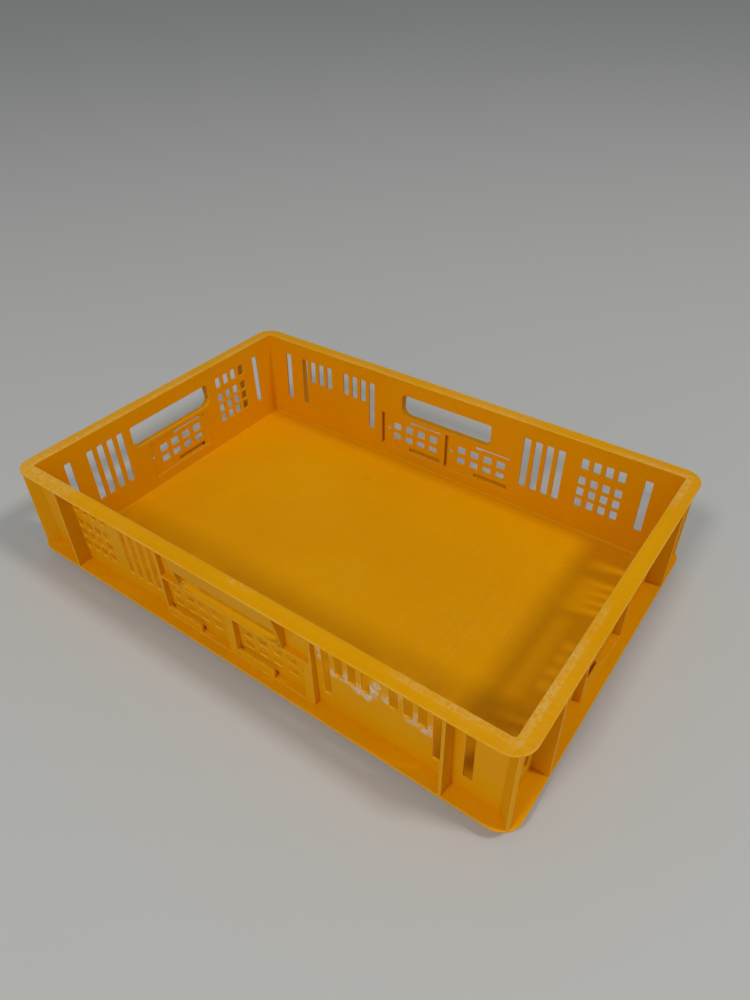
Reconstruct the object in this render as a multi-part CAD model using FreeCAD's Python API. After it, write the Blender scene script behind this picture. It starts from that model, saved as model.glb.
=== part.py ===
import FreeCAD, Part
import math
import os

# Stackable shallow crate, 600 x 400 x 120 mm.
# Frame: millimetres, origin at the centre of the underside, X along the long side,
# Y along the short side, Z up. The front long wall faces -Y.
# The real crate is one moulding. It is cut here into its regions, which meet face to face.

os.makedirs("parts", exist_ok=True)

V = FreeCAD.Vector

# ---------------------------------------------------------------- overall sizes
HALF_LENGTH = 300.0
HALF_WIDTH = 200.0
OUTLINE_RADIUS = 21.0
TOP_Z = 120.0
RIM_EDGE_Z = 119.0
RIM_UNDER_Z = 116.5
FLANGE_TOP_Z = 15.7
FLANGE_UNDER_Z = 13.2
FLOOR_THICKNESS = 2.3
WALL_THICKNESS = 2.3

# The tub narrows towards its base so that it nests in the rim of the crate below.
INSET_TOP = 16.0
INSET_BASE = 19.4
INNER_CORNER_RADIUS = 3.0
COVE_RADIUS = 2.5

# Low raised bead on the inner half of the rim, with a soft slope on its outer side.
BEAD_FOOT_INSET = 7.0
BEAD_TOP_INSET = 10.6
BEAD_RADIUS = 10.0

# ---------------------------------------------------------------- ribs
RIB_THICKNESS = 3.0
CORNER_RIB_THICKNESS = 3.4
RIB_SETBACK = 0.2
CARD_DEPTH_SETBACK = 9.5
GRIP_TOP_SETBACK = 0.4
GRIP_LOW_SETBACK = 5.4
GRIP_THICKNESS = 2.5
CHEEK_THICKNESS = 2.5
PANEL_RECESS = 1.0

# ---------------------------------------------------------------- heights on the walls
SLOT_TOP_Z = 100.0
SLOT_LOW_Z = 33.5
HALF_SLOT_LOW_Z = 69.0
VENT_LOW_Z = 86.0
GRID_TOP_Z = 76.5
GRID_LOW_Z = 35.5
GRID_ROWS = 3
GRID_GAP = 3.6
SLOT_WIDTH = 8.5
SLOT_RADIUS = 1.0

HANDLE_LOW_Z = 70.5
HANDLE_TOP_Z = 99.5
LEDGE_THICKNESS = 2.5
GRIP_LOW_Z = 94.9
SILL_TOP_Z = 17.2
WINDOW_TOP_Z = 65.0
WINDOW_LOW_Z = 17.6
HOLE_ROWS = ((45.5, 55.0), (31.0, 39.5))
SLIT_Z = (61.7, 63.4)
SLIT_MOUTH_Z = 60.0
SLIT_MOUTH_LENGTH = 12.0
CORE_OUT_Z = (19.8, 25.0)
RAIL_TOP_Z = 27.0
RAIL_SETBACK = 0.5
RAIL_THICKNESS = 3.4
LIP_THICKNESS = 1.8
CORNER_STEP = 1.2


def inset_at(z):
    """Distance from the outline to the inner wall face at height z."""
    return INSET_BASE + (INSET_TOP - INSET_BASE) * z / TOP_Z


def rounded_rectangle(half_x, half_y, radius, z):
    """Closed horizontal wire, a rectangle with rounded corners."""
    k = radius * (1.0 - math.sqrt(0.5))
    edges = []
    corners = ((1, 1), (-1, 1), (-1, -1), (1, -1))
    for index, (sx, sy) in enumerate(corners):
        on_x_side = V(sx * half_x, sy * (half_y - radius), z)
        on_y_side = V(sx * (half_x - radius), sy * half_y, z)
        middle = V(sx * (half_x - k), sy * (half_y - k), z)
        if index % 2 == 0:
            start, end = on_x_side, on_y_side
        else:
            start, end = on_y_side, on_x_side
        edges.append((start, middle, end))
    wire_edges = []
    for index, (start, middle, end) in enumerate(edges):
        wire_edges.append(Part.Arc(start, middle, end).toShape())
        following = edges[(index + 1) % 4][0]
        wire_edges.append(Part.makeLine(end, following))
    return Part.Wire(wire_edges)


def tapered_block(low_inset, low_z, high_inset, high_z, radius):
    """Solid with flat sloping sides and rounded corners between two levels."""
    corners = []
    for inset, z in ((low_inset, low_z), (high_inset, high_z)):
        half_x = HALF_LENGTH - inset
        half_y = HALF_WIDTH - inset
        ring = [V(-half_x, -half_y, z), V(half_x, -half_y, z), V(half_x, half_y, z)]
        ring.append(V(-half_x, half_y, z))
        corners.append(ring)
    low, high = corners
    faces = []
    for ring in (low[::-1], high):
        faces.append(Part.Face(Part.makePolygon(ring + [ring[0]])))
    for index in range(4):
        following = (index + 1) % 4
        ring = [low[index], low[following], high[following], high[index]]
        faces.append(Part.Face(Part.makePolygon(ring + [ring[0]])))
    solid = Part.makeSolid(Part.makeShell(faces))
    slanted = []
    for edge in solid.Edges:
        ends = [vertex.Point.z for vertex in edge.Vertexes]
        if abs(ends[0] - ends[1]) > 0.01:
            slanted.append(edge)
    return solid.makeFillet(radius, slanted)


def tub_solid(offset):
    """Tapered solid whose side faces lie outward of the inner wall face by offset."""
    low_z = -1.0
    high_z = TOP_Z + 1.0
    return tapered_block(
        inset_at(low_z) - offset, low_z, inset_at(high_z) - offset, high_z,
        INNER_CORNER_RADIUS + offset,
    )


def plate(inset, low_z, high_z):
    """Horizontal plate with the rounded crate outline, pulled in by inset."""
    radius = max(OUTLINE_RADIUS - inset, 2.0)
    wire = rounded_rectangle(HALF_LENGTH - inset, HALF_WIDTH - inset, radius, low_z)
    return Part.Face(wire).extrude(V(0, 0, high_z - low_z))


def side_wedge(side):
    """Everything on one side of the two corner diagonals. The four wedges fill the plan."""
    far = 400.0
    ridge = HALF_LENGTH - HALF_WIDTH
    reach = far + ridge
    if side == "front":
        points = [(-ridge, 0), (-reach, -far), (reach, -far), (ridge, 0)]
    elif side == "back":
        points = [(-ridge, 0), (ridge, 0), (reach, far), (-reach, far)]
    elif side == "right":
        points = [(ridge, 0), (reach, -far), (reach, far)]
    else:
        points = [(-ridge, 0), (-reach, far), (-reach, -far)]
    corners = [V(x, y, -5) for x, y in points]
    corners.append(corners[0])
    return Part.Face(Part.makePolygon(corners)).extrude(V(0, 0, 140))


# Pieces of a wall are drawn as if on the front: s runs to the right as seen from outside,
# n is the distance out from the middle of the crate. They are then turned into place.
TURN = {"front": 0.0, "right": 90.0, "back": 180.0, "left": 270.0}
HALF_DEPTH = {"front": HALF_WIDTH, "back": HALF_WIDTH, "right": HALF_LENGTH, "left": HALF_LENGTH}


def placed(shape, side):
    """Copy of a shape drawn on the front, turned to its side."""
    moved = shape.copy()
    moved.rotate(V(0, 0, 0), V(0, 0, 1), TURN[side])
    return moved


def block(s0, s1, n0, n1, z0, z1):
    """Box on the front side."""
    return Part.makeBox(s1 - s0, n1 - n0, z1 - z0, V(s0, -n1, z0))


def cutter(points, n0, n1):
    """Prism through the wall from a list of (s, z) corners."""
    corners = [V(s, -n0, z) for s, z in points]
    corners.append(corners[0])
    return Part.Face(Part.makePolygon(corners)).extrude(V(0, -(n1 - n0), 0))


def wall_prism(points, s0, s1):
    """Prism along the wall from a list of (n, z) corners."""
    corners = [V(s0, -n, z) for n, z in points]
    corners.append(corners[0])
    return Part.Face(Part.makePolygon(corners)).extrude(V(s1 - s0, 0, 0))


def rounded_cutter(s0, s1, z0, z1, radii, n0, n1):
    """Prism with rounded corners. Radii run low left, low right, top right, top left."""
    corner_points = ((s0, z0, 1, 1), (s1, z0, -1, 1), (s1, z1, -1, -1), (s0, z1, 1, -1))
    arcs = []
    for index, (s, z, ds, dz) in enumerate(corner_points):
        radius = radii[index]
        k = radius * (1.0 - math.sqrt(0.5))
        along_s = V(s + ds * radius, -n0, z)
        along_z = V(s, -n0, z + dz * radius)
        middle = V(s + ds * k, -n0, z + dz * k)
        if index % 2 == 0:
            arcs.append((along_z, middle, along_s))
        else:
            arcs.append((along_s, middle, along_z))
    edges = []
    for index, (start, middle, end) in enumerate(arcs):
        edges.append(Part.Arc(start, middle, end).toShape())
        following = arcs[(index + 1) % 4][0]
        edges.append(Part.makeLine(end, following))
    return Part.Face(Part.Wire(edges)).extrude(V(0, -(n1 - n0), 0))


def slot(centre, z0, z1, half_depth):
    """Vertical slot through the wall."""
    half = SLOT_WIDTH / 2.0
    radii = (SLOT_RADIUS,) * 4
    return rounded_cutter(centre - half, centre + half, z0, z1, radii, half_depth - 30, half_depth)


# ---------------------------------------------------------------- layout of each wall
LONG = {
    "long_slots": (-251.0, -152.0, -138.0, -124.0, -110.0, 110.0, 222.0, 250.5),
    "half_slots": (124.0, 138.0, 152.0, 180.0, 194.0, 208.0),
    "vents": (-222.0, -208.0, -194.0, -180.0),
    "side_ribs": (-229.0, 234.8),
    "card_ribs": (-93.0, 97.0),
    "divider": 2.2,
    "handle": 63.0,
    "handle_radii": (6.0, 9.0, 5.0, 2.0),
    "windows": {
        "a": {
            "recess": (-91.6, -2.2),
            "panel": (-91.6, -6.8),
            "holes": (-80.0, -62.0, -44.0, -26.0),
            "hole_width": 11.0,
            "mark": -12.0,
            "slit": (-91.6, -45.0),
            "rail": (-91.6, -46.0),
        },
        "b": {
            "recess": (3.6, 93.8),
            "panel": (3.6, 89.2),
            "holes": (15.5, 33.5, 51.5, 69.5),
            "hole_width": 11.0,
            "mark": 82.0,
            "slit": (3.6, 50.5),
            "rail": (3.6, 49.5),
        },
    },
}
SHORT = {
    "long_slots": (-150.5, 77.0, 91.0, 105.0, 119.0, 148.5),
    "half_slots": (),
    "vents": (-123.0, -109.0, -95.5, -81.5),
    "side_ribs": (-132.0, 134.0),
    "card_ribs": (-49.6, 44.6),
    "divider": None,
    "handle": 62.0,
    "handle_radii": (9.0, 6.0, 2.0, 5.0),
    "windows": {
        "a": {
            "recess": (-48.2, 43.2),
            "panel": (-48.2, 43.2),
            "holes": (-34.0, -15.5, 3.0, 21.0),
            "hole_width": 12.0,
            "mark": 39.0,
            "slit": (-43.0, 2.0),
            "rail": (-48.2, 0.0),
        },
    },
}
LAYOUT = {"front": LONG, "back": LONG, "right": SHORT, "left": SHORT}
SIDES = ("front", "right", "back", "left")

tub_outer = tub_solid(WALL_THICKNESS)
tub_inner = tub_solid(0.0)
tub_recess = tub_solid(PANEL_RECESS)

# Space inside the crate, with a small cove where the walls meet the floor.
cavity = tapered_block(
    inset_at(FLOOR_THICKNESS), FLOOR_THICKNESS, inset_at(TOP_Z + 1.0), TOP_Z + 1.0, INNER_CORNER_RADIUS
)
floor_edges = []
for edge in cavity.Edges:
    if all(vertex.Point.z < FLOOR_THICKNESS + 0.01 for vertex in edge.Vertexes):
        floor_edges.append(edge)
cavity = cavity.makeFillet(COVE_RADIUS, floor_edges)

above_floor = Part.makeBox(700, 500, RIM_UNDER_Z - FLOOR_THICKNESS, V(-350, -250, FLOOR_THICKNESS))
shell = tub_outer.cut(cavity).common(above_floor)

nodes = {}

# ---------------------------------------------------------------- floor
floor_slab = Part.makeBox(700, 500, FLOOR_THICKNESS, V(-350, -250, 0))
nodes["floor_panel"] = tub_outer.common(floor_slab)

# ---------------------------------------------------------------- rim and lower flange
bead = tapered_block(BEAD_FOOT_INSET, RIM_EDGE_Z, BEAD_TOP_INSET, TOP_Z, BEAD_RADIUS)
rim_ring = plate(0.0, RIM_UNDER_Z, RIM_EDGE_Z).fuse(bead).removeSplitter().cut(tub_inner)
flange_ring = plate(0.0, FLANGE_UNDER_Z, FLANGE_TOP_Z).cut(tub_outer)

for side in SIDES:
    wedge = side_wedge(side)
    nodes["rim_" + side] = rim_ring.common(wedge)
    nodes["flange_" + side] = flange_ring.common(wedge)

# ---------------------------------------------------------------- corner ribs
RIB_HEIGHT = RIM_UNDER_Z - FLANGE_TOP_Z
corner_blank = plate(RIB_SETBACK, FLANGE_TOP_Z, RIM_UNDER_Z).cut(tub_outer)
CORNERS = {
    "corner_rib_front_right": (1, -1),
    "corner_rib_back_right": (1, 1),
    "corner_rib_back_left": (-1, 1),
    "corner_rib_front_left": (-1, -1),
}
for name, (sx, sy) in CORNERS.items():
    foot = V(-40, -CORNER_RIB_THICKNESS / 2, FLANGE_TOP_Z)
    slab = Part.makeBox(80, CORNER_RIB_THICKNESS, RIB_HEIGHT, foot)
    slab.rotate(V(0, 0, 0), V(0, 0, 1), 45.0 * sx * sy)
    slab.translate(V(sx * (HALF_LENGTH - 10), sy * (HALF_WIDTH - 10), 0))
    nodes[name] = corner_blank.common(slab)


# ---------------------------------------------------------------- one wall with its fittings
def window_cutters(window, half_depth):
    """Square holes, small mark and two long slits of a card window."""
    near = half_depth - 30
    cuts = []
    half = window["hole_width"] / 2.0
    for centre in window["holes"]:
        for z0, z1 in HOLE_ROWS:
            radii = (0.8,) * 4
            cuts.append(rounded_cutter(centre - half, centre + half, z0, z1, radii, near, half_depth))
    mark = window["mark"]
    cuts.append(cutter([(mark - 2.0, 42.0), (mark + 2.2, 42.0), (mark + 0.6, 48.0)], near, half_depth))
    s0, s1 = window["slit"]
    cuts.append(block(s0 + 1.0, s1, near, half_depth, *CORE_OUT_Z))
    # The upper slit widens downward at the end where a card is pushed in.
    low, high = SLIT_Z
    mouth = s1 - SLIT_MOUTH_LENGTH
    outline = [(s0 + 1.0, low), (mouth, low), (s1 - 3.0, SLIT_MOUTH_Z), (s1, SLIT_MOUTH_Z + 1.2)]
    outline += [(s1, high), (s0 + 1.0, high)]
    cuts.append(cutter(outline, near, half_depth))
    return cuts


def build_side(side):
    """All pieces of one wall, drawn on the front and turned into place."""
    layout = LAYOUT[side]
    half_depth = HALF_DEPTH[side]
    near = half_depth - 30
    ledge_low_z = HANDLE_LOW_Z - LEDGE_THICKNESS
    card_plane = half_depth - CARD_DEPTH_SETBACK
    turned_back = -TURN[side]

    local_outer = tub_outer.copy()
    local_outer.rotate(V(0, 0, 0), V(0, 0, 1), turned_back)
    local_inner = tub_inner.copy()
    local_inner.rotate(V(0, 0, 0), V(0, 0, 1), turned_back)
    local_recess = tub_recess.copy()
    local_recess.rotate(V(0, 0, 0), V(0, 0, 1), turned_back)
    wall = shell.common(side_wedge(side))
    wall.rotate(V(0, 0, 0), V(0, 0, 1), turned_back)
    pieces = {}

    # Perforated wall.
    cuts = []
    for centre in layout["long_slots"]:
        cuts.append(slot(centre, SLOT_LOW_Z, SLOT_TOP_Z, half_depth))
    for centre in layout["half_slots"]:
        cuts.append(slot(centre, HALF_SLOT_LOW_Z, SLOT_TOP_Z, half_depth))
    row_height = (GRID_TOP_Z - GRID_LOW_Z - GRID_GAP * (GRID_ROWS - 1)) / GRID_ROWS
    for centre in layout["vents"]:
        cuts.append(slot(centre, VENT_LOW_Z, SLOT_TOP_Z, half_depth))
        for row in range(GRID_ROWS):
            low = GRID_LOW_Z + row * (row_height + GRID_GAP)
            cuts.append(slot(centre, low, low + row_height, half_depth))
    handle = layout["handle"]
    cuts.append(
        rounded_cutter(
            -handle, handle, HANDLE_LOW_Z, HANDLE_TOP_Z, layout["handle_radii"], near, half_depth
        )
    )
    for window in layout["windows"].values():
        s0, s1 = window["recess"]
        cuts.append(block(s0, s1, near, half_depth, WINDOW_LOW_Z, WINDOW_TOP_Z))
    pieces["wall_" + side] = wall.cut(cuts)

    # Side ribs from the wall to the outline.
    for letter, centre in zip("ab", layout["side_ribs"]):
        rib = block(
            centre - RIB_THICKNESS / 2, centre + RIB_THICKNESS / 2,
            near, half_depth - RIB_SETBACK, FLANGE_TOP_Z, RIM_UNDER_Z,
        )
        pieces["side_rib_" + side + "_" + letter] = rib.cut(local_outer)

    # Card holder: two upright ribs, a ledge above and a low sill below.
    left_s, right_s = layout["card_ribs"]
    half_rib = RIB_THICKNESS / 2
    full_height = layout["divider"] is not None
    rib_top = RIM_UNDER_Z if full_height else ledge_low_z
    for letter, centre in zip("ab", (left_s, right_s)):
        rib = block(centre - half_rib, centre + half_rib, near, card_plane, FLANGE_TOP_Z, rib_top)
        if full_height and letter == "b":
            lip = block(
                centre - 8.4, centre - half_rib,
                card_plane - LIP_THICKNESS, card_plane, SILL_TOP_Z, ledge_low_z,
            )
            rib = rib.fuse(lip).removeSplitter()
        pieces["card_rib_" + side + "_" + letter] = rib.cut(local_outer)

    if full_height:
        ledge_s = (left_s + half_rib, right_s - half_rib)
        divider = layout["divider"]
        rib = block(divider - half_rib, divider + half_rib, near, card_plane, SILL_TOP_Z, ledge_low_z)
        lip = block(
            divider - 8.8, divider - half_rib,
            card_plane - LIP_THICKNESS, card_plane, SILL_TOP_Z, ledge_low_z,
        )
        pieces["card_divider_" + side] = rib.fuse(lip).removeSplitter().cut(local_outer)
    else:
        ledge_s = (-handle - CHEEK_THICKNESS, handle + CHEEK_THICKNESS)
    ledge = block(ledge_s[0], ledge_s[1], near, card_plane, ledge_low_z, HANDLE_LOW_Z)
    pieces["card_ledge_" + side] = ledge.cut(local_outer)
    sill = block(left_s + half_rib, right_s - half_rib, near, card_plane, FLANGE_TOP_Z, SILL_TOP_Z)
    pieces["card_sill_" + side] = sill.cut(local_outer)

    # Perforated card panels and the low rails that hold a card from outside.
    for letter, window in layout["windows"].items():
        s0, s1 = window["panel"]
        panel = block(s0, s1, near, half_depth, WINDOW_LOW_Z, WINDOW_TOP_Z)
        panel = panel.common(local_outer).cut(local_recess)
        panel = panel.cut(window_cutters(window, half_depth))
        pieces["card_panel_" + side + "_" + letter] = panel
        r0, r1 = window["rail"]
        rail = rounded_cutter(
            r0, r1, SILL_TOP_Z - 6.0, RAIL_TOP_Z, (0.5, 0.5, 4.5, 0.5),
            card_plane - RAIL_SETBACK - RAIL_THICKNESS, card_plane - RAIL_SETBACK,
        )
        keep = block(r0 - 1, r1 + 1, near, half_depth, SILL_TOP_Z, RAIL_TOP_Z + 1)
        pieces["card_rail_" + side + "_" + letter] = rail.common(keep)

    # Hand grip: a skirt under the rim that slants inwards, with a slanting cheek at each end.
    grip_top = half_depth - GRIP_TOP_SETBACK
    grip_low = half_depth - GRIP_LOW_SETBACK
    skirt = [
        (grip_top, RIM_UNDER_Z), (grip_low, GRIP_LOW_Z),
        (grip_low - GRIP_THICKNESS, GRIP_LOW_Z), (grip_top - GRIP_THICKNESS, RIM_UNDER_Z),
    ]
    cheek = [
        (near, HANDLE_LOW_Z), (card_plane, HANDLE_LOW_Z), (grip_low, GRIP_LOW_Z),
        (grip_top, RIM_UNDER_Z), (near, RIM_UNDER_Z),
    ]
    grip = wall_prism(skirt, -handle - CHEEK_THICKNESS, handle + CHEEK_THICKNESS)
    for s0 in (-handle - CHEEK_THICKNESS, handle):
        grip = grip.fuse(wall_prism(cheek, s0, s0 + CHEEK_THICKNESS))
    # Rounded corners at the bottom of the hand hole, carried out to the edge of the ledge.
    for sign, radius in zip((-1, 1), layout["handle_radii"][:2]):
        s0, s1 = sorted((sign * (handle - radius), sign * (handle + 0.5)))
        corner = block(s0, s1, near, card_plane, HANDLE_LOW_Z, HANDLE_LOW_Z + radius)
        bore = Part.makeCylinder(
            radius - CORNER_STEP, 60,
            V(sign * (handle - radius), -half_depth - 5, HANDLE_LOW_Z + radius), V(0, 1, 0),
        )
        grip = grip.fuse(corner.cut(bore))
    pieces["hand_grip_" + side] = grip.removeSplitter().cut(local_outer)

    for name, shape in pieces.items():
        nodes[name] = placed(shape, side)


for side in SIDES:
    build_side(side)

for name, shape in nodes.items():
    solids = shape.Solids
    if len(solids) == 1:
        shape = solids[0]
    else:
        print("check", name, "has", len(solids), "solids")
    if not shape.isValid():
        print("check", name, "is not valid")
    shape.exportStep("parts/" + name + ".step")

print(len(nodes), "pieces")
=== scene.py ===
import math

import bmesh
import bpy
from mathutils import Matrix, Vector
from mathutils.bvhtree import BVHTree


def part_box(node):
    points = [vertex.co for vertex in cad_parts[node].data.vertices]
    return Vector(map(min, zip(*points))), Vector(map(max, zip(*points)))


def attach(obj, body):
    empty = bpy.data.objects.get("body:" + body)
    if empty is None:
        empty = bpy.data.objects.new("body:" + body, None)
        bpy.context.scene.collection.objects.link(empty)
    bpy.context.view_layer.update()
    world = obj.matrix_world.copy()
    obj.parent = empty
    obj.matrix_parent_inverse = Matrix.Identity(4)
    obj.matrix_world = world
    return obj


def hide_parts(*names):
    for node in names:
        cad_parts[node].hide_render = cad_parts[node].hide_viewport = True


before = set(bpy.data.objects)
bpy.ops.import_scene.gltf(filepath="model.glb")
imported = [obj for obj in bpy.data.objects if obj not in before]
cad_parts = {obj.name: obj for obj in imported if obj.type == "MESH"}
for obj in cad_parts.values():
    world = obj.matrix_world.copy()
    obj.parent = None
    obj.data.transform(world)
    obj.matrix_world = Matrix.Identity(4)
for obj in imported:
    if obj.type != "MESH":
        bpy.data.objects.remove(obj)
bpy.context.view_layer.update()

MM = 0.001

# ---------------------------------------------------------------- camera
CAMERA_PLACE = (0.38534, -0.48108, 0.57631)
CAMERA_TURN = (51.191, 0.828, 35.933)
CAMERA_LENS = 26.69
SENSOR_WIDTH = 36.0

# ---------------------------------------------------------------- plastic colours, linear
YELLOW = (0.86, 0.385, 0.0, 1.0)
YELLOW_DEEP = (0.82, 0.355, 0.0, 1.0)
YELLOW_PALE = (0.88, 0.46, 0.012, 1.0)
SCUFF = (0.84, 0.53, 0.14, 1.0)
PAPER = (0.80, 0.66, 0.46, 1.0)
DIRT = (0.30, 0.14, 0.01, 1.0)

# ---------------------------------------------------------------- edge finish
EDGE_WIDTH = 0.45 * MM
RIM_EDGE_WIDTH = 0.8 * MM
WELD_DISTANCE = 0.002 * MM
CONTACT_DISTANCE = 0.03 * MM
SHARP_ANGLE = math.radians(28.0)
SMOOTH_ANGLE = math.radians(45.0)
FLAT_ANGLE = math.radians(0.4)

# ---------------------------------------------------------------- surface finish
SPECULAR_LEVEL = 0.06
SUBSURFACE_WEIGHT = 0.12
SUBSURFACE_DEPTH = 3.0 * MM
BUMP_STRENGTH = 0.22
BUMP_HEIGHT = 1.2 * MM
SCRATCH_STRENGTH = 0.12
RIM_RUB_STRENGTH = 0.75
EDGE_RUB_STRENGTH = 0.45
RIM_EDGE_RUB_STRENGTH = 0.6


# ================================================================ small helpers for materials
class Tree:
    """Adds shader nodes and links them."""

    def __init__(self, material):
        material.use_nodes = True
        self.tree = material.node_tree
        self.tree.nodes.clear()

    def node(self, kind, **settings):
        made = self.tree.nodes.new(kind)
        for key, value in settings.items():
            setattr(made, key, value)
        return made

    def link(self, source, target):
        self.tree.links.new(source, target)

    def feed(self, value, socket):
        """Link a socket, or set a plain number or colour on it."""
        if isinstance(value, bpy.types.NodeSocket):
            self.link(value, socket)
        else:
            socket.default_value = value

    def math(self, operation, a, b=0.0, clamp=False):
        made = self.node("ShaderNodeMath", operation=operation, use_clamp=clamp)
        self.feed(a, made.inputs[0])
        self.feed(b, made.inputs[1])
        return made.outputs[0]

    def ramp(self, value, low, high, to_low=0.0, to_high=1.0):
        """Smooth step of a value between low and high."""
        made = self.node("ShaderNodeMapRange", interpolation_type="SMOOTHSTEP")
        self.feed(value, made.inputs["Value"])
        made.inputs["From Min"].default_value = low
        made.inputs["From Max"].default_value = high
        made.inputs["To Min"].default_value = to_low
        made.inputs["To Max"].default_value = to_high
        return made.outputs["Result"]

    def mix(self, factor, a, b):
        made = self.node("ShaderNodeMix", data_type="RGBA")
        self.feed(factor, made.inputs[0])
        self.feed(a, made.inputs[6])
        self.feed(b, made.inputs[7])
        return made.outputs[2]

    def noise(self, vector, scale, detail=2.0, roughness=0.5, distortion=0.0):
        made = self.node("ShaderNodeTexNoise")
        self.link(vector, made.inputs["Vector"])
        made.inputs["Scale"].default_value = scale
        made.inputs["Detail"].default_value = detail
        made.inputs["Roughness"].default_value = roughness
        made.inputs["Distortion"].default_value = distortion
        return made.outputs[0]

    def scaled(self, vector, scale, turn=(0.0, 0.0, 0.0)):
        made = self.node("ShaderNodeMapping")
        self.link(vector, made.inputs["Vector"])
        made.inputs["Scale"].default_value = scale
        made.inputs["Rotation"].default_value = turn
        return made.outputs[0]

    def near(self, vector, place, inner, outer):
        """1 inside the inner radius of a place, 0 outside the outer one."""
        made = self.node("ShaderNodeVectorMath", operation="DISTANCE")
        self.link(vector, made.inputs[0])
        made.inputs[1].default_value = place
        return self.ramp(made.outputs["Value"], inner, outer, 1.0, 0.0)


def scratches(t, place, scale, turn, width):
    """Thin straight scratches: stretched noise cut to a narrow band."""
    stretched = t.scaled(place, (scale, scale * 0.035, scale * 0.3), turn)
    value = t.noise(stretched, 1.0, 3.0, 0.55)
    distance = t.math("ABSOLUTE", t.math("SUBTRACT", value, 0.5))
    return t.ramp(distance, 0.0, width, 1.0, 0.0)


def rim_rub(t, coordinates, facing_up):
    """How far a point lies on the raised bead, and how much it is rubbed pale."""
    grain = t.noise(t.scaled(coordinates, (1.0, 1.0, 0.2)), 210.0, 4.0, 0.7)
    region = t.noise(coordinates, 13.0, 3.0, 0.6)
    rubbed = t.math("MULTIPLY", t.ramp(grain, 0.48, 0.62), t.ramp(region, 0.57, 0.70))
    everywhere = 0.0
    for place, inner, outer, amount, full_width in RIM_WORN:
        spot = t.math("MULTIPLY", t.near(coordinates, place, inner, outer), amount)
        spot = t.math("MULTIPLY", spot, t.ramp(grain, 0.38, 0.60))
        rubbed = t.math("MAXIMUM", rubbed, spot)
        if full_width > 0.0:
            everywhere = t.math("MAXIMUM", everywhere, t.math("MULTIPLY", spot, full_width))
    position = t.node("ShaderNodeSeparateXYZ")
    t.link(coordinates, position.inputs[0])
    raised = t.ramp(position.outputs[2], 0.1193, 0.1199)
    rubbed = t.math("MAXIMUM", t.math("MULTIPLY", rubbed, raised), everywhere)
    rubbed = t.math("MULTIPLY", rubbed, t.ramp(facing_up, 0.3, 0.8))
    return raised, rubbed


def paper_remains(t, coordinates, facing_y):
    """Torn remains of a pale paper label, drawn as fibrous patches along a few lines."""
    ragged = t.node("ShaderNodeVectorMath", operation="ADD")
    wobble = t.node("ShaderNodeVectorMath", operation="SCALE")
    fibre = t.node("ShaderNodeTexNoise")
    t.link(coordinates, fibre.inputs["Vector"])
    fibre.inputs["Scale"].default_value = 95.0
    fibre.inputs["Detail"].default_value = 5.0
    centred = t.node("ShaderNodeVectorMath", operation="SUBTRACT")
    t.link(fibre.outputs["Color"], centred.inputs[0])
    centred.inputs[1].default_value = (0.5, 0.5, 0.5)
    t.link(centred.outputs[0], wobble.inputs[0])
    wobble.inputs["Scale"].default_value = 0.016
    t.link(coordinates, ragged.inputs[0])
    t.link(wobble.outputs[0], ragged.inputs[1])
    paper = 0.0
    for place, radius, amount in PAPER_REMAINS:
        spot = t.near(ragged.outputs[0], place, radius * 0.45, radius)
        paper = t.math("MAXIMUM", paper, t.math("MULTIPLY", spot, amount))
    torn = t.noise(coordinates, 260.0, 4.0, 0.7)
    paper = t.math("MULTIPLY", paper, t.ramp(torn, 0.34, 0.56))
    outward = t.ramp(facing_y, -0.5, -0.8, 0.0, 1.0)
    return t.math("MULTIPLY", paper, outward)


def floor_marks(t, coordinates, colour):
    """Colour with gate marks, a few dark specks and soft darker clouds."""
    for place in GATE_MARKS:
        ring = t.math("SUBTRACT", t.near(coordinates, place, 0.0035, 0.0045),
                      t.near(coordinates, place, 0.0022, 0.0030))
        colour = t.mix(t.math("MULTIPLY", ring, 0.14, True), colour, DIRT)
    specks = t.node("ShaderNodeTexVoronoi")
    t.link(coordinates, specks.inputs["Vector"])
    specks.inputs["Scale"].default_value = 26.0
    dot = t.ramp(specks.outputs["Distance"], 0.030, 0.055, 1.0, 0.0)
    rare = t.ramp(t.noise(coordinates, 5.0, 1.0, 0.5), 0.60, 0.66)
    colour = t.mix(t.math("MULTIPLY", t.math("MULTIPLY", dot, rare), 0.7), colour, DIRT)
    cloud = t.ramp(t.noise(coordinates, 11.0, 4.0, 0.6), 0.50, 0.78)
    return t.mix(t.math("MULTIPLY", cloud, 0.05), colour, DIRT)


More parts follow.
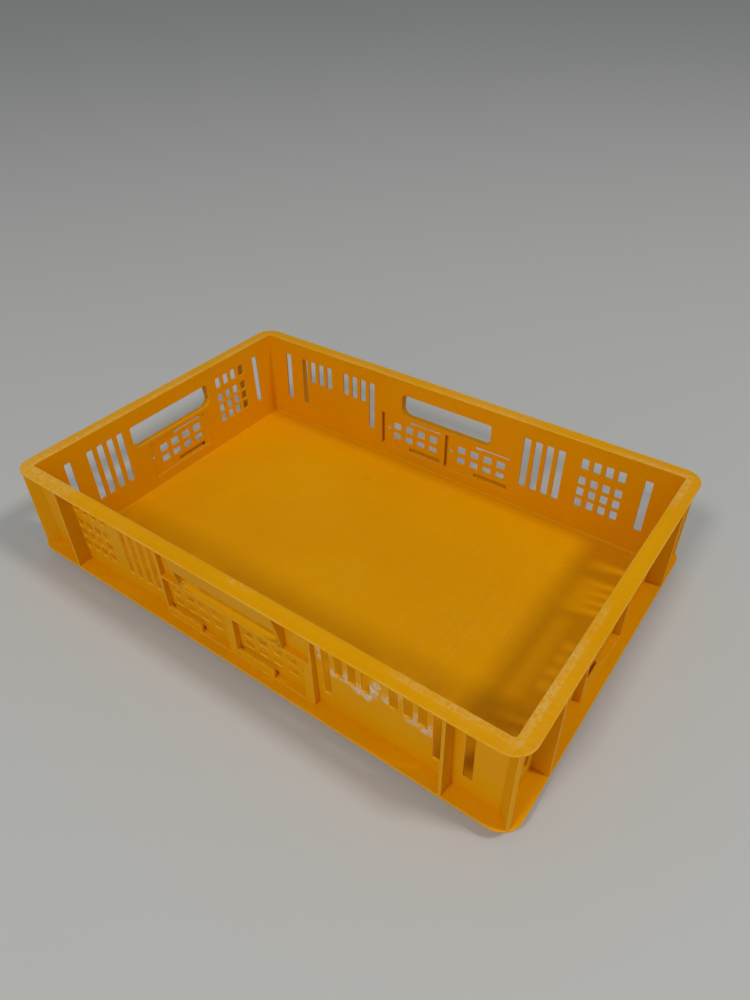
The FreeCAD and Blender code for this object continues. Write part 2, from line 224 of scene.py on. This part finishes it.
def crate_plastic(name, edge=0.0, sticker=False, floor=False, rim=False):
    """Moulded polyethylene with slight mottling, scratches and scuffs, and a painted highlight on
    bevelled edges when edge is set.
    """
    material = bpy.data.materials.new(name)
    t = Tree(material)
    out = t.node("ShaderNodeOutputMaterial")
    shader = t.node("ShaderNodeBsdfPrincipled")
    t.link(shader.outputs[0], out.inputs[0])
    coordinates = t.node("ShaderNodeTexCoord").outputs["Object"]
    geometry = t.node("ShaderNodeNewGeometry")
    split = t.node("ShaderNodeSeparateXYZ")
    t.link(geometry.outputs["Normal"], split.inputs[0])
    facing_up = split.outputs[2]

    # Broad colour drift and fine mottling.
    broad = t.noise(coordinates, 6.0, 3.0, 0.55)
    fine = t.noise(coordinates, 140.0, 3.0, 0.6)
    colour = t.mix(t.ramp(broad, 0.35, 0.68), YELLOW_DEEP, YELLOW)
    colour = t.mix(t.math("MULTIPLY", t.ramp(fine, 0.45, 0.75), 0.16), colour, YELLOW_PALE)

    # Worn edges are paler in patches, and all bevelled edges also get a painted highlight.
    if edge > 0.0:
        patches = t.ramp(t.noise(coordinates, 45.0, 4.0, 0.65), 0.36, 0.62)
        colour = t.mix(t.math("MULTIPLY", patches, edge), colour, SCUFF)
        # Painted highlight: every bevelled edge face is lightened towards pale yellow, standing in
        # for the light line along each rounded edge.
        colour = t.mix(0.35, colour, YELLOW_PALE)

    # Fine scratches in two directions, in patches.
    lines = t.math(
        "MAXIMUM",
        scratches(t, coordinates, 150.0, (0.0, 0.0, 0.45), 0.012),
        scratches(t, coordinates, 120.0, (0.0, 0.0, -0.9), 0.010),
    )
    where = t.ramp(t.noise(coordinates, 9.0, 2.0, 0.5), 0.48, 0.66)
    lines = t.math("MULTIPLY", lines, where)
    lines = t.math("MULTIPLY", lines, SCRATCH_STRENGTH)
    colour = t.mix(lines, colour, SCUFF)

    wear = lines
    if rim:
        # The raised inner half of the rim is drawn a little paler all along, and paler still in
        # rubbed patches where crates rest on it.
        raised, rubbed = rim_rub(t, coordinates, facing_up)
        colour = t.mix(t.math("MULTIPLY", raised, 0.10), colour, YELLOW_PALE)
        colour = t.mix(t.math("MULTIPLY", rubbed, RIM_RUB_STRENGTH), colour, SCUFF)
        wear = t.math("MAXIMUM", wear, rubbed)

    if sticker:
        paper = paper_remains(t, coordinates, split.outputs[1])
        colour = t.mix(paper, colour, PAPER)
        wear = t.math("MAXIMUM", wear, paper)

    if floor:
        colour = floor_marks(t, coordinates, colour)

    t.link(colour, shader.inputs["Base Color"])
    roughness = t.math("ADD", t.ramp(fine, 0.3, 0.7, 0.36, 0.46), t.math("MULTIPLY", wear, 0.25))
    t.link(roughness, shader.inputs["Roughness"])
    shader.inputs["IOR"].default_value = 1.5
    shader.inputs["Specular IOR Level"].default_value = SPECULAR_LEVEL
    shader.inputs["Subsurface Weight"].default_value = SUBSURFACE_WEIGHT
    shader.inputs["Subsurface Radius"].default_value = (1.0, 0.45, 0.05)
    shader.inputs["Subsurface Scale"].default_value = SUBSURFACE_DEPTH

    ripple = t.noise(coordinates, 22.0, 2.0, 0.5)
    grain = t.noise(coordinates, 700.0, 2.0, 0.6)
    height = t.math("ADD", t.math("MULTIPLY", ripple, 0.55), t.math("MULTIPLY", grain, 0.03))
    height = t.math("SUBTRACT", height, t.math("MULTIPLY", wear, 0.05))
    bump = t.node("ShaderNodeBump")
    bump.inputs["Strength"].default_value = BUMP_STRENGTH
    bump.inputs["Distance"].default_value = BUMP_HEIGHT
    t.link(height, bump.inputs["Height"])
    t.link(bump.outputs[0], shader.inputs["Normal"])
    return material


# Places where stacked crates rub the rim pale: centre, full radius, outer radius, amount,
# and how much of it reaches the outer half of the rim.
RIM_WORN = (
    ((0.292, -0.192, 0.12), 0.005, 0.040, 0.7, 0.25),
    ((0.245, -0.190, 0.12), 0.010, 0.040, 0.8, 0.10),
    ((0.200, -0.188, 0.12), 0.005, 0.030, 0.6, 0.0),
    ((0.290, -0.145, 0.12), 0.015, 0.040, 1.0, 0.15),
    ((0.288, -0.095, 0.12), 0.010, 0.035, 0.8, 0.10),
    ((0.288, -0.045, 0.12), 0.005, 0.030, 0.5, 0.0),
    ((0.288, 0.165, 0.12), 0.012, 0.045, 0.9, 0.15),
    ((0.240, 0.189, 0.12), 0.010, 0.050, 0.7, 0.10),
    ((-0.290, -0.190, 0.12), 0.030, 0.075, 0.9, 0.80),
    ((-0.235, -0.190, 0.12), 0.015, 0.040, 0.8, 0.70),
    ((-0.290, -0.110, 0.12), 0.025, 0.075, 0.8, 0.45),
    ((-0.290, 0.010, 0.12), 0.020, 0.080, 0.7, 0.40),
    ((-0.290, 0.130, 0.12), 0.020, 0.080, 0.6, 0.25),
    ((0.060, 0.190, 0.12), 0.020, 0.090, 0.6, 0.40),
    ((-0.120, 0.190, 0.12), 0.010, 0.080, 0.5, 0.25),
)
PAPER_REMAINS = (
    ((0.106, -0.1857, 0.096), 0.010, 0.8),
    ((0.108, -0.1855, 0.084), 0.008, 0.7),
    ((0.131, -0.1854, 0.073), 0.011, 0.8),
    ((0.117, -0.1852, 0.070), 0.008, 0.8),
    ((0.143, -0.1852, 0.069), 0.011, 0.9),
    ((0.153, -0.1852, 0.070), 0.011, 1.0),
    ((0.158, -0.1854, 0.079), 0.008, 1.0),
    ((0.163, -0.1856, 0.088), 0.007, 1.0),
    ((0.173, -0.1854, 0.076), 0.008, 0.8),
    ((0.182, -0.1856, 0.088), 0.008, 0.9),
    ((0.187, -0.1858, 0.097), 0.007, 0.8),
    ((0.199, -0.1852, 0.070), 0.010, 0.7),
    ((0.211, -0.1852, 0.067), 0.010, 0.8),
    ((0.218, -0.1854, 0.073), 0.007, 0.7),
    ((0.205, -0.1853, 0.079), 0.007, 0.5),
    ((-0.213, -0.1860, 0.108), 0.007, 1.0),
)
GATE_MARKS = ((-0.075, 0.125, 0.0023), (0.205, 0.115, 0.0023))

plain = crate_plastic("plastic_plain")
# The edge materials go on the bevel faces and carry worn patches plus a painted edge highlight.
edges = crate_plastic("plastic_edge_wear_and_highlight", edge=EDGE_RUB_STRENGTH)
rims = crate_plastic("plastic_rim", rim=True)
rim_edges = crate_plastic("plastic_rim_edge_wear_and_highlight", edge=RIM_EDGE_RUB_STRENGTH, rim=True)
front = crate_plastic("plastic_label_remains", sticker=True)
base = crate_plastic("plastic_floor", floor=True)


# ================================================================ surfaces rebuilt from the CAD nodes
def welded(source):
    """Copy of a CAD node's mesh with shared vertices and large flat faces."""
    made = bmesh.new()
    made.from_mesh(source.data)
    bmesh.ops.remove_doubles(made, verts=made.verts, dist=WELD_DISTANCE)
    bmesh.ops.dissolve_limit(
        made, angle_limit=FLAT_ANGLE, verts=made.verts, edges=made.edges,
        use_dissolve_boundaries=False,
    )
    made.normal_update()
    return made


def touches(point, own, trees, boxes):
    """Whether another node's surface lies at this point."""
    for name, tree in trees.items():
        if name == own:
            continue
        low, high = boxes[name]
        inside = all(
            low[i] - CONTACT_DISTANCE <= point[i] <= high[i] + CONTACT_DISTANCE for i in range(3)
        )
        if inside and tree.find_nearest(point, CONTACT_DISTANCE)[0] is not None:
            return True
    return False


def free_sharp_edges(made, own, trees, boxes):
    """Convex sharp edges that no other node meets."""
    chosen = []
    for edge in made.edges:
        if len(edge.link_faces) != 2 or not edge.is_convex:
            continue
        if edge.calc_face_angle(0.0) < SHARP_ANGLE:
            continue
        start, end = (vertex.co for vertex in edge.verts)
        hits = sum(
            touches(start.lerp(end, share), own, trees, boxes) for share in (0.1, 0.3, 0.5, 0.7, 0.9)
        )
        if hits < 3:
            chosen.append(edge)
    return chosen


meshes = {name: welded(node) for name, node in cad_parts.items()}
trees = {name: BVHTree.FromBMesh(made) for name, made in meshes.items()}
boxes = {name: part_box(name) for name in meshes}

for name in sorted(meshes):
    made = meshes[name]
    on_rim = name.startswith("rim_")
    width = RIM_EDGE_WIDTH if on_rim else EDGE_WIDTH
    chosen = free_sharp_edges(made, name, trees, boxes)
    if chosen:
        bmesh.ops.bevel(
            made, geom=chosen, offset=width, offset_type="OFFSET", segments=2, profile=0.5,
            affect="EDGES", clamp_overlap=False, material=1,
        )
    for face in made.faces:
        face.smooth = True
    mesh = bpy.data.meshes.new("skin_" + name)
    made.to_mesh(mesh)
    made.free()
    mesh.set_sharp_from_angle(angle=SMOOTH_ANGLE)
    piece = bpy.data.objects.new("skin_" + name, mesh)
    bpy.context.scene.collection.objects.link(piece)
    if on_rim:
        mesh.materials.append(rims)
        mesh.materials.append(rim_edges)
    elif name == "wall_front":
        mesh.materials.append(front)
        mesh.materials.append(edges)
    elif name == "floor_panel":
        mesh.materials.append(base)
        mesh.materials.append(edges)
    else:
        mesh.materials.append(plain)
        mesh.materials.append(edges)
    weighted = piece.modifiers.new("weighted_normals", "WEIGHTED_NORMAL")
    weighted.keep_sharp = True
    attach(piece, "root")
    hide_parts(name)

# ================================================================ stage, light and camera
FLOOR_HALF = 14.0
STAGE_COLOUR = (0.605, 0.62, 0.61, 1.0)
WORLD_COLOUR = (0.97, 0.98, 1.0, 1.0)
WORLD_STRENGTH = 0.245
LIGHT_COLOUR = (1.0, 0.98, 0.94)

floor_mesh = bpy.data.meshes.new("stage_floor")
floor_mesh.from_pydata(
    [(-FLOOR_HALF, -FLOOR_HALF, 0), (FLOOR_HALF, -FLOOR_HALF, 0),
     (FLOOR_HALF, FLOOR_HALF, 0), (-FLOOR_HALF, FLOOR_HALF, 0)],
    [], [(0, 1, 2, 3)],
)
stage = bpy.data.objects.new("stage_floor", floor_mesh)
bpy.context.scene.collection.objects.link(stage)
stage_material = bpy.data.materials.new("stage_floor")
stage_material.use_nodes = True
stage_shader = stage_material.node_tree.nodes["Principled BSDF"]
stage_shader.inputs["Base Color"].default_value = STAGE_COLOUR
stage_shader.inputs["Roughness"].default_value = 0.55
floor_mesh.materials.append(stage_material)


def area_light(name, place, aim, size, power):
    """Square soft light that points at a place."""
    data = bpy.data.lights.new(name, "AREA")
    data.shape = "SQUARE"
    data.size = size
    data.energy = power
    data.color = LIGHT_COLOUR
    made = bpy.data.objects.new(name, data)
    bpy.context.scene.collection.objects.link(made)
    made.location = place
    direction = Vector(aim) - Vector(place)
    made.rotation_euler = direction.to_track_quat("-Z", "Y").to_euler()


# A soft light high on the right and a weaker one high in front leave soft shadows inside.
# A low broad one in front fills the upright faces.
area_light("key_right", (2.56, 0.56, 3.48), (0.2, 0.05, 0.06), 0.62, 49.5)
area_light("key_front", (0.0, -2.76, 3.17), (0.0, -0.15, 0.06), 0.70, 41.0)
area_light("fill_front", (0.6, -2.6, 1.1), (0.0, 0.0, 0.06), 1.6, 6.5)

world = bpy.data.worlds.new("studio")
bpy.context.scene.world = world
world.use_nodes = True
sky = world.node_tree.nodes["Background"]
sky.inputs["Color"].default_value = WORLD_COLOUR
sky.inputs["Strength"].default_value = WORLD_STRENGTH

scene = bpy.context.scene
scene.view_settings.view_transform = "Standard"
scene.view_settings.look = "None"

camera_data = bpy.data.cameras.new("camera")
camera_data.lens = CAMERA_LENS
camera_data.sensor_width = SENSOR_WIDTH
camera = bpy.data.objects.new("camera", camera_data)
scene.collection.objects.link(camera)
camera.location = CAMERA_PLACE
camera.rotation_euler = tuple(math.radians(a) for a in CAMERA_TURN)
scene.camera = camera
